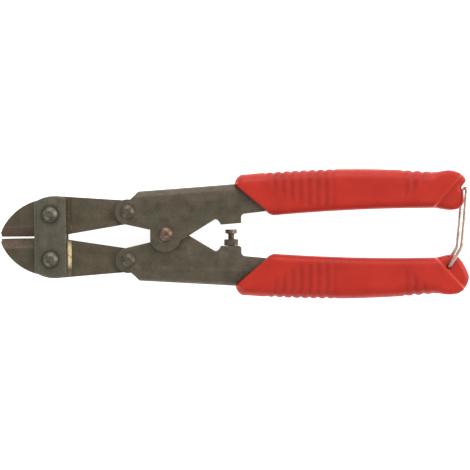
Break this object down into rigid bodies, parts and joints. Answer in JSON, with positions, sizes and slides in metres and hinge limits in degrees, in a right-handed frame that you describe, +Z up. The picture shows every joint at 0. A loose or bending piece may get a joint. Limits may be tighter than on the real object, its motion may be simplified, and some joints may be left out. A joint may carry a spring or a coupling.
{
  "type": "pocket bolt cutters",
  "caption": "Pocket bolt cutters: linked cutting jaws, two nested sheet-steel handles on a centre pivot, sleeved grips, stop screw and a swinging wire latch.",
  "frame": {"origin": "middle of the box of the closed tool, on the surface that it lies on", "axes": "+X from the jaws to the grips, +Y from the lower to the upper handle, +Z up out of the surface that it lies on, through the rivets"},
  "size_m": [0.2099, 0.0582, 0.016],
  "materials": {
    "black_steel": "blackened, satin",
    "jaw_steel": "heat-darkened, ground at the edges",
    "rivet_steel": "satin",
    "coppered_steel": "worn, coppery",
    "bright_wire": "bright",
    "screw_steel": "dull",
    "red_pvc": "soft gloss"
  },
  "bodies": {
    "upper_handle_body": {"upper_handle": "black_steel", "upper_grip": "red_pvc", "upper_tail_rivet": "rivet_steel", "upper_tail_washer": "black_steel", "centre_pivot_rivet": "coppered_steel", "centre_pivot_washer": "black_steel", "pivot_sleeve": "rivet_steel", "return_spring": "bright_wire"},
    "lower_handle_body": {"lower_handle": "black_steel", "lower_grip": "red_pvc", "lower_tail_rivet": "rivet_steel", "lower_tail_washer": "black_steel", "stop_block": "black_steel", "stop_lock_nut": "screw_steel"},
    "upper_jaw_body": {"upper_jaw": "jaw_steel"},
    "lower_jaw_body": {"lower_jaw": "jaw_steel"},
    "link_body": {"front_link_plate": "black_steel", "rear_link_plate": "black_steel", "upper_jaw_rivet": "rivet_steel", "lower_jaw_rivet": "rivet_steel", "upper_jaw_washer": "black_steel", "lower_jaw_washer": "black_steel"},
    "stop_screw_body": {"stop_screw": "screw_steel"},
    "latch_body": {"latch_wire": "bright_wire"}
  },
  "joints": [
    {"name": "handle_hinge", "type": "hinge", "parent": "upper_handle_body", "child": "lower_handle_body", "pos_m": [-0.03105, 0, 0.008], "axis": [0, 0, -1], "range_deg": [0, 30], "deforming": ["return_spring"]},
    {"name": "upper_tail_pivot", "type": "hinge", "parent": "upper_handle_body", "child": "upper_jaw_body", "pos_m": [-0.04775, 0.01085, 0.008], "axis": [0, 0, -1], "range_deg": [0, 22.9]},
    {"name": "lower_tail_pivot", "type": "hinge", "parent": "lower_handle_body", "child": "lower_jaw_body", "pos_m": [-0.04775, -0.01085, 0.008], "axis": [0, 0, 1], "range_deg": [0, 22.9]},
    {"name": "upper_jaw_pivot", "type": "hinge", "parent": "upper_jaw_body", "child": "link_body", "pos_m": [-0.08235, 0.01005, 0.008], "axis": [0, 0, 1], "range_deg": [0, 7.9]},
    {"name": "latch_hinge", "type": "hinge", "parent": "lower_handle_body", "child": "latch_body", "pos_m": [0.09565, -0.0152, 0.008], "axis": [0, 0, -1], "range_deg": [0, 100]},
    {"name": "stop_screw_travel", "type": "slide", "parent": "lower_handle_body", "child": "stop_screw_body", "axis": [0, 1, 0], "range_m": [-0.002, 0.002]}
  ],
  "couplings": [
    {"joint": "upper_tail_pivot", "follows": "handle_hinge", "ratio": 0.75661},
    {"joint": "lower_tail_pivot", "follows": "handle_hinge", "ratio": 0.75661},
    {"joint": "upper_jaw_pivot", "follows": "handle_hinge", "ratio": 0.25661}
  ]
}
